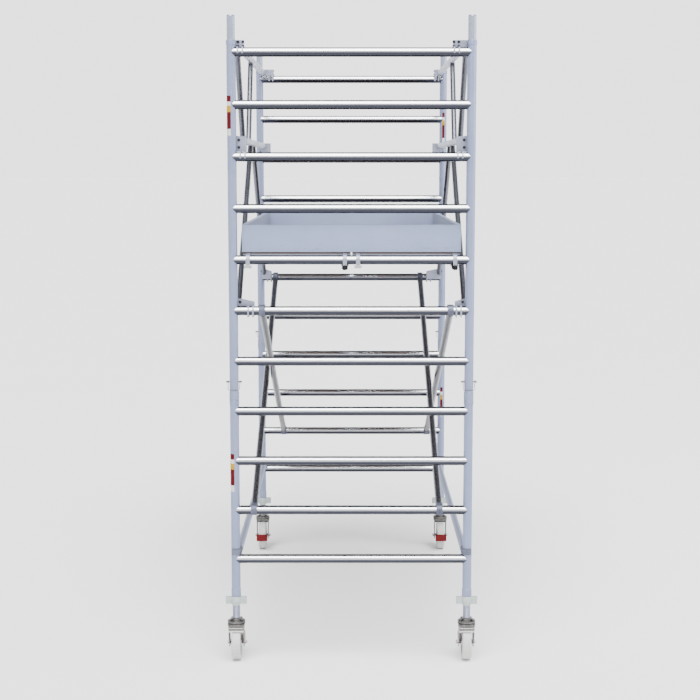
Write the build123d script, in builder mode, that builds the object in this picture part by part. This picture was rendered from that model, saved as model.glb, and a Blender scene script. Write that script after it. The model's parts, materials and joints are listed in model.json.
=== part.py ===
from build123d import *

import os
from math import cos, radians, sin

# Mobile aluminium scaffold tower: two ladder frames high at each end, braced along both sides,
# with a double deck, toe boards, side guardrails and four levelling legs on braked castors.
# Millimetres. +Z is up, X runs along the rungs and Y runs along the deck.
# The origin is on the floor, at the middle of the tower.

# Driving dimensions
rung_pitch = 280.0
first_rung = 590.0
half_width = 650.0
half_length = 1250.0
tube_r = 25.0
upright_wall = 2.5
rung_wall = 2.0
rungs_lower = range(1, 5)
rungs_upper = range(5, 12)
leg_rung = 6
deck_rung = 7
mid_rung = 9
top_rung = 11

# Frame ends: each frame's tubes end a fixed height above its top rung, on a collar
seam_over_rung = 64.0
bore_r = tube_r - upright_wall
socket_r = 27.2
socket_height = 45.0
collar_r = 27.0
collar_height = 24.0
spigot_r = 22.0
spigot_grip_r = 22.3
spigot_groove_r = 21.4
spigot_bore_r = 18.0
spigot_in = 110.0
spigot_out = 133.0
lock_pin_over_seam = 101.0
lock_pin_r = 4.0

# Levelling legs and castors
spindle_r = 21.0
spindle_bore_r = 15.0
spindle_foot = 250.0
spindle_length = 590.0
nut_top = 373.7
nut_height = 43.0
nut_wing_span = 119.0
wheel_r = 100.0
wheel_width = 50.0
castor_offset = 25.0
crown_r = 50.0
crown_top = 221.5
crown_thickness = 12.5
cheek_gap = 76.0
cheek_thickness = 5.0
axle_r = 6.0

# Deck, toe boards and hooks
deck_half_width = 598.0
deck_half_length = 1190.0
deck_split = 4.0
beam_width = 28.0
beam_bottom = -25.0
beam_top = 30.0
board_thickness = 10.0
toe_height = 150.0
toe_thickness = 24.0
toe_half_width = 604.0
toe_half_length = 1196.0
hook_width = 22.0
hook_inner_r = 25.6
hook_outer_r = 33.0
hook_xs = (36.0, 567.0)
lock_xs = (-36.0, 567.0)
hatch_x = (110.0, 533.0)
hatch_y = (350.0, 1000.0)
hatch_gap = 3.0

# Braces and guardrails
brace_r = 19.0
brace_wall = 2.0
brace_outer_x = 545.0
brace_inner_x = 492.0
brace_low_rung = 2
claw_width = 34.0
side_brace_x = 632.0
side_brace_z = 635.0
rail_plane = 625.0
rail_r = 20.0
strut_r = 16.0
guard_wall = 2.0
top_rail_over = 45.0
mid_rail_over = 95.0
leg_foot_over = 40.0
bracket_face = 1190.0
weld_gap = 0.2

deck_top = beam_top + board_thickness + weld_gap
sides = {"left": -1, "right": 1}
ends = {"front": -1, "back": 1}


def rung_z(number):
    return first_rung + (number - 1) * rung_pitch


deck_z = rung_z(deck_rung)
frame_foot = rung_z(0) + seam_over_rung
frame_seam = rung_z(rungs_lower[-1]) + seam_over_rung
frame_top = rung_z(top_rung) + seam_over_rung

os.makedirs("parts", exist_ok=True)


def save(piece, name):
    piece.part.label = name
    export_step(piece.part, f"parts/{name}.step")


def upright_plane(x, y):
    return Plane(origin=(x, y, 0), x_dir=(1, 0, 0), z_dir=(0, -1, 0))


def across_plane(x):
    """Plane square to X, with local x along +Y and local y along +Z."""
    return Plane(origin=(x, 0, 0), x_dir=(0, 1, 0), z_dir=(1, 0, 0))


def tube(start, end, outer, inner):
    """Adds one straight tube between two points to the part being built."""
    start = Vector(start)
    run = Vector(end) - start
    with BuildSketch(Plane(origin=start, z_dir=run)) as ring:
        Circle(outer)
        Circle(inner, mode=Mode.SUBTRACT)
    extrude(ring.sketch, amount=run.length)


# ---------------------------------------------------------------- ladder frames
def make_uprights(name, y, foot, top):
    with BuildPart() as pair:
        for x in (-half_width, half_width):
            with BuildSketch(upright_plane(x, y)):
                with BuildLine():
                    Polyline(
                        (bore_r, foot),
                        (socket_r - 3, foot),
                        (socket_r, foot + 3),
                        (socket_r, foot + socket_height - 3),
                        (tube_r, foot + socket_height + 3),
                        (tube_r, top - collar_height - 2),
                        (collar_r, top - collar_height),
                        (collar_r, top - 3),
                        (collar_r - 2, top),
                        (bore_r, top),
                        close=True,
                    )
                make_face()
            revolve(axis=Axis((x, y, 0), (0, 0, 1)))
            with Locations((x, y, foot + lock_pin_over_seam)):
                Cylinder(lock_pin_r + 0.5, 4 * tube_r, rotation=(0, 90, 0), mode=Mode.SUBTRACT)
    save(pair, name)


def make_rungs(name, y, numbers):
    with BuildPart() as rungs:
        for number in numbers:
            z = rung_z(number)
            tube((-half_width, y, z), (half_width, y, z), tube_r, tube_r - rung_wall)
        for x in (-half_width, half_width):
            with Locations((x, y, rung_z(6))):
                Cylinder(tube_r + weld_gap, 4000, mode=Mode.SUBTRACT)
    save(rungs, name)


def make_spigots():
    with BuildPart() as spigots:
        for top in (frame_seam, frame_top):
            for x in (-half_width, half_width):
                for y in (-half_length, half_length):
                    with BuildSketch(upright_plane(x, y)):
                        with BuildLine():
                            Polyline(
                                (spigot_bore_r, top - spigot_in),
                                (spigot_grip_r, top - spigot_in),
                                (spigot_grip_r, top - 4),
                                (spigot_groove_r, top - 4),
                                (spigot_groove_r, top),
                                (spigot_r, top),
                                (spigot_r, top + spigot_out - 6),
                                (spigot_r - 3, top + spigot_out),
                                (spigot_bore_r, top + spigot_out),
                                close=True,
                            )
                        make_face()
                    revolve(axis=Axis((x, y, 0), (0, 0, 1)))
                    with Locations((x, y, top + lock_pin_over_seam)):
                        Cylinder(lock_pin_r + 0.5, 4 * tube_r, rotation=(0, 90, 0), mode=Mode.SUBTRACT)
    save(spigots, "spigots")


for end, way in ends.items():
    make_uprights(f"{end}_lower_uprights", way * half_length, frame_foot, frame_seam - weld_gap)
    make_uprights(f"{end}_upper_uprights", way * half_length, frame_seam, frame_top)
    make_rungs(f"{end}_lower_rungs", way * half_length, rungs_lower)
    make_rungs(f"{end}_upper_rungs", way * half_length, rungs_upper)
make_spigots()


# ---------------------------------------------------------------- frame lock pins and their spring wires
pin_z = frame_seam + lock_pin_over_seam
eye_reach = 32.0
eye_r = 7.5
wire_r = 1.6
wire_reach = 53.0
wire_droop = 56.0


def make_lock_pins():
    inner = 5 - eye_reach - 12
    head = eye_reach + 6
    with BuildPart() as pins:
        for side in sides.values():
            for y in (-half_length, half_length):
                x = side * half_width
                with BuildSketch(Plane(origin=(x, y, pin_z), x_dir=(side, 0, 0), z_dir=(0, -side, 0))):
                    with BuildLine():
                        Polyline(
                            (inner - 5, 0),
                            (inner - 4, 3.6),
                            (inner, 5.2),
                            (inner + 3.6, lock_pin_r),
                            (head, lock_pin_r),
                            (head, 7),
                            (head + 4, 7),
                            (head + 5, 6),
                            (head + 5, 0),
                            close=True,
                        )
                    make_face()
                revolve(axis=Axis((x, y, pin_z), (1, 0, 0)))
    save(pins, "lock_pins")


def make_lock_wire(name, x, y, way):
    reach = Vector(0, way * cos(radians(wire_droop)), -sin(radians(wire_droop)))
    axis_point = Vector(x, y, pin_z)
    with BuildPart() as wire:
        corners = []
        for step, distance in ((-1, eye_r - 2), (-1, wire_reach), (1, wire_reach), (1, eye_r - 2)):
            corners.append(axis_point + Vector(step * eye_reach, 0, 0) + reach * distance)
        with BuildLine() as loop:
            FilletPolyline(*corners, radius=9)
        with BuildSketch(Plane(origin=corners[0], z_dir=reach)):
            Circle(wire_r)
        sweep(path=loop.line)
        for step in (-1, 1):
            with Locations((x + step * eye_reach, y, pin_z)):
                Cylinder(eye_r, 2 * wire_r - 0.8, rotation=(0, 90, 0))
        with Locations((x, y, pin_z)):
            Cylinder(lock_pin_r + 0.3, 4 * eye_reach, rotation=(0, 90, 0), mode=Mode.SUBTRACT)
    save(wire, name)


make_lock_pins()
for end, way in ends.items():
    for side_name, side in sides.items():
        make_lock_wire(f"lock_wire_{end}_{side_name}", side * half_width, way * half_length, way)


# ---------------------------------------------------------------- levelling legs
def make_spindle(name, x, y):
    with BuildPart() as spindle:
        tube((x, y, spindle_foot), (x, y, spindle_foot + spindle_length), spindle_r, spindle_bore_r)
        chamfer(spindle.edges().group_by(Axis.Z)[-1], 1.5)
    save(spindle, name)


def make_nut(name, x, y):
    foot = nut_top - nut_height
    thread_r = spindle_r + 0.3
    with BuildPart() as nut:
        with BuildSketch(upright_plane(x, y)):
            with BuildLine():
                Polyline(
                    (thread_r, foot - 8),
                    (24, foot - 8),
                    (27, foot + 6),
                    (29.5, foot + 18),
                    (29.5, nut_top - 3),
                    (26.5, nut_top),
                    (thread_r, nut_top),
                    close=True,
                )
            make_face()
        revolve(axis=Axis((x, y, 0), (0, 0, 1)))
        with BuildSketch(Plane.XY.offset(foot)):
            with Locations((x, y)):
                RectangleRounded(nut_wing_span, 20, 7)
        extrude(amount=nut_height - 2)
        with Locations((x, y, nut_top)):
            Cylinder(thread_r, 4 * nut_height, mode=Mode.SUBTRACT)
    save(nut, name)


def make_swivel_race(name, x, y):
    """Fixed half of the castor's swivel, bolted under the spindle."""
    foot = crown_top + 0.5
    with BuildPart() as race:
        with BuildSketch(upright_plane(x, y)):
            with BuildLine():
                Polyline(
                    (0, spindle_foot - 4),
                    (10.3, spindle_foot - 4),
                    (10.3, foot),
                    (crown_r - 3, foot),
                    (crown_r, foot + 3),
                    (crown_r, foot + 12),
                    (crown_r - 8, foot + 17),
                    (spindle_r + 9, foot + 19),
                    (spindle_r + 6, spindle_foot - weld_gap),
                    (0, spindle_foot - weld_gap),
                    close=True,
                )
            make_face()
        revolve(axis=Axis((x, y, 0), (0, 0, 1)))
    save(race, name)


def make_fork(name, x, y, inward):
    """Swivelling fork: crown plate, two cheeks, a skirt on the leading side and the kingpin."""
    axle_y = y + inward * castor_offset
    crown_foot = crown_top - crown_thickness
    with BuildPart() as fork:
        with BuildSketch(Plane.XY.offset(crown_foot)):
            with Locations((x, y)):
                RectangleRounded(2 * crown_r - 4, 2 * crown_r - 2, 22)
        extrude(amount=crown_thickness)
        with BuildSketch(Plane.XY.offset(crown_top)):
            with Locations((x, y)):
                Circle(10)
        extrude(amount=22)
        for step in (-1, 1):
            inner = x + step * cheek_gap / 2
            with BuildSketch(across_plane(min(inner, inner + step * cheek_thickness))):
                with BuildLine():
                    Polyline(
                        (y - inward * 46, crown_foot + 2),
                        (y + inward * 46, crown_foot + 2),
                        (y + inward * 46, crown_foot - 22),
                        (axle_y + inward * 20, wheel_r - 8),
                        (axle_y + inward * 11, wheel_r - 26),
                        (axle_y - inward * 11, wheel_r - 26),
                        (axle_y - inward * 20, wheel_r - 8),
                        (y - inward * 46, crown_foot - 36),
                        close=True,
                    )
                make_face()
            extrude(amount=cheek_thickness)
        with Locations((x, y - inward * 45, crown_foot - 14)):
            Box(cheek_gap + 1, 4, 36)
        with Locations((x, axle_y, wheel_r)):
            Cylinder(axle_r + 0.2, 4 * cheek_gap, rotation=(0, 90, 0), mode=Mode.SUBTRACT)
    save(fork, name)


def make_axle(name, x, y, inward, side):
    """Axle bolt with its hexagon head outboard and its nut inboard."""
    axle_y = y + inward * castor_offset
    axle_seat = cheek_gap / 2 + cheek_thickness + 0.5
    with BuildPart() as axle:
        for way, height, reach in ((side, 8, 0.5), (-side, 10, 14)):
            flange = (x + way * axle_seat, axle_y, wheel_r)
            with BuildSketch(Plane(origin=flange, x_dir=(0, 1, 0), z_dir=(way, 0, 0))):
                RegularPolygon(11, 6)
            extrude(amount=height)
            tube((x, axle_y, wheel_r), (x + way * (axle_seat + reach), axle_y, wheel_r), axle_r, 0.8)
    save(axle, name)


def make_wheel(name, x, y, inward):
    axle_y = y + inward * castor_offset
    half = wheel_width / 2
    with BuildPart() as wheel:
        plane = Plane(origin=(x, axle_y, wheel_r), x_dir=(1, 0, 0), z_dir=(0, -1, 0))
        with BuildSketch(plane):
            with BuildLine():
                Polyline(
                    (-29, axle_r + 0.3),
                    (29, axle_r + 0.3),
                    (29, 18),
                    (26, 21),
                    (9, 26),
                    (7, 32),
                    (7, 66),
                    (9, 72),
                    (half - 3, 77),
                    (half, 80),
                    (half, wheel_r - 6),
                    (half - 2, wheel_r - 2),
                    (half - 7, wheel_r),
                    (7 - half, wheel_r),
                    (2 - half, wheel_r - 2),
                    (-half, wheel_r - 6),
                    (-half, 80),
                    (3 - half, 77),
                    (-9, 72),
                    (-7, 66),
                    (-7, 32),
                    (-9, 26),
                    (-26, 21),
                    (-29, 18),
                    close=True,
                )
            make_face()
        revolve(axis=Axis((x, axle_y, wheel_r), (1, 0, 0)))
    save(wheel, name)


def make_pedal(name, x, y, inward):
    """Foot brake: two arms on the axle, inside the cheeks, and a wide foot plate beyond the tread."""
    axle_y = y + inward * castor_offset
    arm_inner = 31.0
    arm_thickness = 4.0
    plate_y = wheel_r + 6.0
    with BuildPart() as pedal:
        for step in (-1, 1):
            near = x + step * arm_inner
            with BuildSketch(across_plane(min(near, near + step * arm_thickness))):
                with BuildLine():
                    Polyline(
                        (axle_y - inward * 4, wheel_r - 12),
                        (axle_y + inward * 30, wheel_r - 11),
                        (axle_y + inward * (plate_y + 4), wheel_r - 17),
                        (axle_y + inward * (plate_y + 4), wheel_r + 22),
                        (axle_y + inward * 30, wheel_r + 11),
                        (axle_y - inward * 4, wheel_r + 12),
                        (axle_y - inward * 12, wheel_r + 4),
                        (axle_y - inward * 12, wheel_r - 4),
                        close=True,
                    )
                make_face()
            extrude(amount=arm_thickness)
        with Locations((x, axle_y + inward * (plate_y + 4), wheel_r + 3)):
            Box(2 * (arm_inner + arm_thickness + 4), 8, 48)
        fillet(pedal.edges().filter_by(Axis.X).group_by(Axis.Y)[0 if inward < 0 else -1], 3)
        with Locations((x, axle_y, wheel_r)):
            Cylinder(axle_r + 0.3, 4 * cheek_gap, rotation=(0, 90, 0), mode=Mode.SUBTRACT)
    save(pedal, name)


for end, way in ends.items():
    for side_name, side in sides.items():
        corner = f"{end}_{side_name}"
        leg_x = side * half_width
        leg_y = way * half_length
        make_spindle(f"spindle_{corner}", leg_x, leg_y)
        make_nut(f"nut_{corner}", leg_x, leg_y)
        make_swivel_race(f"swivel_race_{corner}", leg_x, leg_y)
        make_fork(f"fork_{corner}", leg_x, leg_y, -way)
        make_axle(f"axle_{corner}", leg_x, leg_y, -way, side)
        make_wheel(f"wheel_{corner}", leg_x, leg_y, -way)
        make_pedal(f"pedal_{corner}", leg_x, leg_y, -way)


# ---------------------------------------------------------------- decks
lock_pivot = (48.0, -29.0)
lock_half_width = 16.0
lock_cheek = 4.0
lock_post_r = 4.0


def add_hook(x, way, has_lock):
    """Adds one deck hook: neck at the deck, cap over the rung and lip outside it.

    A hook with a wind lock also gets the two cheeks and the pin that carry the lock.
    """
    y = way * half_length
    neck_y = way * (deck_half_length + weld_gap)
    slant = radians(45)
    with BuildSketch(across_plane(x - hook_width / 2)) as outline:
        with BuildLine():
            Polyline(
                (y, deck_z + hook_outer_r),
                (neck_y, deck_z + hook_outer_r),
                (neck_y, deck_z - 14),
                (y - way * hook_outer_r, deck_z - 14),
                (y - way * hook_inner_r, deck_z - 10),
                (y - way * hook_inner_r, deck_z),
            )
            ThreePointArc(
                (y - way * hook_inner_r, deck_z),
                (y, deck_z + hook_inner_r),
                (y + way * hook_inner_r, deck_z),
            )
            Polyline(
                (y + way * hook_inner_r, deck_z),
                (y + way * hook_inner_r, deck_z - 30),
                (y + way * (hook_outer_r - 3), deck_z - 30),
                (y + way * hook_outer_r, deck_z - 26),
                (y + way * hook_outer_r, deck_z),
            )
            ThreePointArc(
                (y + way * hook_outer_r, deck_z),
                (y + way * hook_outer_r * cos(slant), deck_z + hook_outer_r * sin(slant)),
                (y, deck_z + hook_outer_r),
            )
        make_face()
    extrude(outline.sketch, amount=hook_width)
    if has_lock:
        pivot_y = way * (half_length - lock_pivot[0])
        for step in (-1, 1):
            with Locations((x + step * (lock_half_width + 1 + lock_cheek / 2), pivot_y, deck_z - 22)):
                Box(lock_cheek, 18, 30)
            with Locations((x + step * (lock_half_width + 1) / 2, pivot_y, deck_z - 10)):
                Box(lock_half_width + 2, 18, 5)
        with Locations((x, pivot_y, deck_z + lock_pivot[1])):
            Cylinder(lock_post_r, 2 * (lock_half_width + 1 + lock_cheek), rotation=(0, 90, 0))
    else:
        with Locations((x, way * (half_length + 29.5), deck_z - 36)):
            Box(40, 7, 13)


def make_deck_frame(name, side, cross_ys):
    inner = side * deck_split
    outer = side * deck_half_width
    middle = (inner + outer) / 2
    height = beam_top - beam_bottom
    z = deck_z + (beam_top + beam_bottom) / 2
    end_y = deck_half_length - beam_width / 2
    beam_length = 2 * (deck_half_length - beam_width - weld_gap)
    clear_width = deck_half_width - deck_split - 2 * (beam_width + weld_gap)
    with BuildPart() as frame:
        for x in (inner + side * beam_width / 2, outer - side * beam_width / 2):
            with Locations((x, 0, z)):
                Box(beam_width, beam_length, height)
            with Locations((x, 0, z)):
                Box(beam_width - 6, beam_length, height - 6, mode=Mode.SUBTRACT)
        for way in ends.values():
            with Locations((middle, way * end_y, z)):
                Box(deck_half_width - deck_split, beam_width, height)
            with Locations((middle, way * end_y, z)):
                Box(deck_half_width - deck_split, beam_width - 6, height - 6, mode=Mode.SUBTRACT)
        for y in cross_ys:
            with Locations((middle, y, z + 5)):
                Box(clear_width, 26, height - 10)
            with Locations((middle, y, z + 5)):
                Box(clear_width, 20, height - 16, mode=Mode.SUBTRACT)
        for hook_x in hook_xs:
            for way in ends.values():
                add_hook(side * hook_x, way, side * hook_x in lock_xs)
    save(frame, name)


def make_wind_lock(name, x, way):
    """Finger that swings under the rung, so that wind can't lift the deck off it."""
    pivot_y = way * (half_length - lock_pivot[0])
    pivot_z = deck_z + lock_pivot[1]
    with BuildPart() as lock:
        with BuildSketch(across_plane(x - lock_half_width)):
            with BuildLine():
                Polyline(
                    (pivot_y - way * 5, pivot_z - 7),
                    (pivot_y + way * 40, pivot_z - 20),
                    (pivot_y + way * 62, pivot_z - 21),
                    (pivot_y + way * 62, pivot_z - 2),
                    (pivot_y + way * 48, pivot_z + 1),
                    (pivot_y + way * 34, pivot_z + 1),
                    (pivot_y + way * 5, pivot_z + 7),
                    (pivot_y - way * 5, pivot_z + 7),
                    close=True,
                )
            make_face()
        extrude(amount=2 * lock_half_width)
        with Locations((x, pivot_y, pivot_z)):
            Cylinder(lock_post_r + 0.3, 4 * lock_half_width, rotation=(0, 90, 0), mode=Mode.SUBTRACT)
    save(lock, name)


board_z = deck_z + beam_top + weld_gap + board_thickness / 2
hinge_x = hatch_x[1]
hinge_z = deck_z + deck_top + 4.3
hinge_ys = (480.0, 870.0)


def make_left_deck():
    with BuildPart() as deck:
        with Locations((-(deck_split + deck_half_width) / 2, 0, board_z)):
            Box(deck_half_width - deck_split, 2 * deck_half_length, board_thickness)
    save(deck, "left_deck")


def make_right_deck():
    """Deck board with the hatch hole, and the fixed leaves and pins of the hatch hinges."""
    width = hatch_x[1] - hatch_x[0]
    length = hatch_y[1] - hatch_y[0]
    with BuildPart() as deck:
        with Locations(((deck_split + deck_half_width) / 2, 0, board_z)):
            Box(deck_half_width - deck_split, 2 * deck_half_length, board_thickness)
        with Locations((hatch_x[0] + width / 2, hatch_y[0] + length / 2, board_z)):
            Box(width, length, 2 * board_thickness, mode=Mode.SUBTRACT)
        for y in hinge_ys:
            with Locations((hinge_x + 19, y, deck_z + deck_top + 0.9)):
                Box(28, 70, 2)
            for step in (-1, 1):
                with Locations((hinge_x, y + step * 28, hinge_z)):
                    Cylinder(4, 14, rotation=(90, 0, 0))
                with Locations((hinge_x + 4, y + step * 28, deck_z + deck_top + 1.4)):
                    Box(8, 14, 3)
            with Locations((hinge_x, y, hinge_z)):
                Cylinder(1.8, 60, rotation=(90, 0, 0))
    save(deck, "right_deck")


def make_hatch():
    """Hatch panel with two hinge leaves and a hand slot."""
    width = hatch_x[1] - hatch_x[0] - 2 * hatch_gap
    length = hatch_y[1] - hatch_y[0] - 2 * hatch_gap
    middle_x = (hatch_x[0] + hatch_x[1]) / 2
    middle_y = (hatch_y[0] + hatch_y[1]) / 2
    with BuildPart() as hatch:
        with Locations((middle_x, middle_y, board_z)):
            Box(width, length, board_thickness)
        with BuildSketch(Plane.XY.offset(deck_z)):
            with Locations((hatch_x[0] + 45, middle_y)):
                SlotOverall(120, 34, rotation=90)
        extrude(amount=2 * deck_top, mode=Mode.SUBTRACT)
        for y in hinge_ys:
            with Locations((hinge_x - 16, y, deck_z + deck_top + 0.9)):
                Box(28, 38, 2)
            with Locations((hinge_x, y, hinge_z)):
                Cylinder(4, 38, rotation=(90, 0, 0))
            with Locations((hinge_x, y, hinge_z)):
                Cylinder(2.1, 120, rotation=(90, 0, 0), mode=Mode.SUBTRACT)
    save(hatch, "hatch")


make_deck_frame("left_deck_frame", -1, (-700, 0, 700))
make_deck_frame("right_deck_frame", 1, (-820, -250, hatch_y[0] - 14, hatch_y[1] + 14))
for end, way in ends.items():
    make_wind_lock(f"wind_lock_{end}_left", lock_xs[0], way)
    make_wind_lock(f"wind_lock_{end}_right", lock_xs[1], way)
make_left_deck()
make_right_deck()
make_hatch()


# ---------------------------------------------------------------- toe boards
toe_z = deck_z + deck_top + weld_gap + toe_height / 2
toe_wall = 2.0

for end, way in ends.items():
    with BuildPart() as toe_board:
        with Locations((0, way * (toe_half_length - toe_thickness / 2), toe_z)):
            Box(2 * toe_half_width, toe_thickness, toe_height)
        fillet(toe_board.edges().filter_by(Axis.X).group_by(Axis.Z)[-1], 3)
        with Locations((0, way * (toe_half_length - toe_thickness / 2), toe_z)):
            inner_size = (2 * toe_half_width, toe_thickness - 2 * toe_wall, toe_height - 8)
            Box(*inner_size, mode=Mode.SUBTRACT)
    save(toe_board, f"{end}_toe_board")

with BuildPart() as side_toe_boards:
    toe_length = 2 * (toe_half_length - toe_thickness - weld_gap)
    for side in sides.values():
        with Locations((side * (toe_half_width - toe_thickness / 2), 0, toe_z)):
            Box(toe_thickness, toe_length, toe_height)
            Box(toe_thickness - 2 * toe_wall, toe_length, toe_height - 8, mode=Mode.SUBTRACT)
save(side_toe_boards, "side_toe_boards")


# ---------------------------------------------------------------- braces and their claws
brace_clear = 46.0


def brace_runs():
    """Start and end rung centres of the four diagonals; each side has one leaning each way."""
    low = rung_z(brace_low_rung)
    high = rung_z(leg_rung)
    front = -half_length
    back = half_length
    return [
        ((-brace_outer_x, front, low), (-brace_outer_x, back, high)),
        ((-brace_inner_x, front, high), (-brace_inner_x, back, low)),
        ((brace_outer_x, front, high), (brace_outer_x, back, low)),
        ((brace_inner_x, front, low), (brace_inner_x, back, high)),
    ]


def make_diagonal_braces():
    with BuildPart() as braces:
        for start, end in brace_runs():
            way = (Vector(*end) - Vector(*start)).normalized()
            near = Vector(*start) + way * brace_clear
            far = Vector(*end) - way * brace_clear
            tube(near, far, brace_r, brace_r - brace_wall)
    save(braces, "diagonal_braces")


def add_rung_claw(centre, other):
    """Adds a claw that hooks over the rung at centre, with its neck towards other."""
    x, y, z = centre
    way = (Vector(*other) - Vector(*centre)).normalized()
    with BuildSketch(across_plane(x - claw_width / 2)) as jaw:
        with Locations((y, z)):
            Circle(hook_outer_r + 1)
            Circle(hook_inner_r, mode=Mode.SUBTRACT)
        with BuildLine():
            Polyline((y, z), (y - 60, z - 56), (y + 60, z - 56), close=True)
        make_face(mode=Mode.SUBTRACT)
    extrude(jaw.sketch, amount=claw_width)
    with BuildSketch(Plane(origin=Vector(*centre) + way * (hook_inner_r + 2), z_dir=way)) as neck:
        Rectangle(claw_width, claw_width)
    extrude(neck.sketch, amount=brace_clear - hook_inner_r - 2 - weld_gap)
    with BuildSketch(Plane(origin=Vector(*centre) + way * (brace_clear - 2), z_dir=way)) as plug:
        Circle(brace_r - brace_wall - 0.3)
    extrude(plug.sketch, amount=42)


def add_upright_claw(side, way):
    """Adds a claw round an upright, open to the outside, with its neck along the side brace."""
    x = side * half_width
    y = way * half_length
    low = side_brace_z - claw_width / 2
    with BuildSketch(Plane.XY.offset(low)) as jaw:
        with Locations((x, y)):
            Circle(hook_outer_r + 1)
            Circle(hook_inner_r, mode=Mode.SUBTRACT)
        with BuildLine():
            Polyline((x, y), (x + side * 60, y - 70), (x + side * 60, y + 70), close=True)
        make_face(mode=Mode.SUBTRACT)
    extrude(jaw.sketch, amount=claw_width)
    neck_y = y - way * (hook_inner_r + brace_clear) / 2
    with Locations((side * side_brace_x, neck_y - way * 2, side_brace_z)):
        Box(30, brace_clear - hook_inner_r - 6, claw_width)
    plug_start = y - way * (brace_clear - 6)
    plug_plane = Plane(origin=(side * side_brace_x, plug_start, side_brace_z), z_dir=(0, -way, 0))
    with BuildSketch(plug_plane) as plug:
        Circle(brace_r - brace_wall - 0.3)
    extrude(plug.sketch, amount=44)


def make_brace_claws():
    with BuildPart() as claws:
        for start, end in brace_runs():
            add_rung_claw(start, end)
            add_rung_claw(end, start)
        for side in sides.values():
            for way in ends.values():
                add_upright_claw(side, way)
    save(claws, "brace_claws")


def make_side_braces():
    reach = half_length - brace_clear
    with BuildPart() as braces:
        for side in sides.values():
            x = side * side_brace_x
            tube((x, -reach, side_brace_z), (x, reach, side_brace_z), brace_r, brace_r - brace_wall)
    save(braces, "side_braces")


make_diagonal_braces()
make_brace_claws()
make_side_braces()


# ---------------------------------------------------------------- guardrails
top_rail_z = rung_z(top_rung) + top_rail_over
mid_rail_z = rung_z(mid_rung) + mid_rail_over
leg_foot_z = rung_z(leg_rung) + leg_foot_over
end_strut = (1150.0, 766.0)
centre_strut = (40.0, 300.0)
leg_top = 100.0


def make_guardrail(name, side):
    """Welded guardrail: two rails, two struts between them and two legs to the rungs below.

    The struts are in the front half only.
    """
    x = side * rail_plane
    reach = bracket_face - weld_gap
    with BuildPart() as guard:
        for top_y, foot_y in (end_strut, centre_strut):
            top = (x, ends["front"] * top_y, top_rail_z)
            tube(top, (x, ends["front"] * foot_y, mid_rail_z), strut_r, strut_r - guard_wall)
        for way in ends.values():
            leg_run = Vector(0, way * (bracket_face - leg_top), leg_foot_z - mid_rail_z)
            foot = Vector(x, way * leg_top, mid_rail_z) + leg_run * 1.05
            tube((x, way * leg_top, mid_rail_z), foot, strut_r, strut_r - guard_wall)
            with Locations((x, way * (bracket_face - weld_gap + 100), leg_foot_z)):
                Box(100, 200, 400, mode=Mode.SUBTRACT)
        for z in (top_rail_z, mid_rail_z):
            with Locations((x, 0, z)):
                Cylinder(rail_r + weld_gap, 2 * reach, rotation=(90, 0, 0), mode=Mode.SUBTRACT)
        for z in (top_rail_z, mid_rail_z):
            tube((x, -reach, z), (x, reach, z), rail_r, rail_r - guard_wall)
    save(guard, name)


def add_guard_bracket(side, way, rung, claw_x, low, height, slant, prong):
    """Adds a bracket: two cheeks hooked over a rung, and a block that the guardrail's tube ends on."""
    y = way * half_length
    z = rung_z(rung)
    for step in (-1, 1):
        with BuildSketch(across_plane(side * claw_x + step * 13 - 4)) as cheek:
            with BuildLine():
                Polyline(
                    (y - way * hook_outer_r, z),
                    (y - way * hook_outer_r, z - prong + 4),
                    (y - way * (hook_inner_r + 2), z - prong),
                    (y - way * hook_inner_r, z - prong + 4),
                    (y - way * hook_inner_r, z),
                )
                ThreePointArc(
                    (y - way * hook_inner_r, z),
                    (y, z + hook_inner_r),
                    (y + way * hook_inner_r, z),
                )
                Polyline(
                    (y + way * hook_inner_r, z),
                    (y + way * hook_inner_r, z - prong + 4),
                    (y + way * (hook_inner_r + 2), z - prong),
                    (y + way * hook_outer_r, z - prong + 4),
                    (y + way * hook_outer_r, z),
                )
                ThreePointArc(
                    (y + way * hook_outer_r, z),
                    (y, z + hook_outer_r),
                    (y - way * hook_outer_r, z),
                )
            make_face()
        extrude(cheek.sketch, amount=8)
        with Locations((side * claw_x + step * 13, way * (bracket_face + 15.5), z + (low - 11) / 2)):
            Box(8, 31, low + 13)
    near = side * (claw_x - 17)
    far = side * (rail_plane + 17)
    face_y = way * (bracket_face + 31) if way < 0 else way * bracket_face
    with BuildSketch(Plane(origin=(0, face_y, 0), x_dir=(1, 0, 0), z_dir=(0, -1, 0))) as block:
        with BuildLine():
            Polyline(
                (near, z + low),
                (far, z + low),
                (far, z + height),
                (near, z + height - slant),
                close=True,
            )
        make_face()
    extrude(block.sketch, amount=-31)


def make_guard_brackets():
    """One bracket where each rail and each leg meets an end frame.

    The claws sit further in at one end of a guardrail than at the other, to leave room for the braces.
    """
    with BuildPart() as brackets:
        for side in sides.values():
            for way in ends.values():
                same = side == way
                add_guard_bracket(side, way, top_rung, 600 if same else 567, 24, 66, 0, 8)
                add_guard_bracket(side, way, mid_rung, 590, 28, 112, 0, 8)
                add_guard_bracket(side, way, leg_rung, 554 if same else 589, -10, 68, 22, 34)
    save(brackets, "guard_brackets")


make_guardrail("left_guardrail", -1)
make_guardrail("right_guardrail", 1)
make_guard_brackets()
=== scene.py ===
import json
import math

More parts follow.
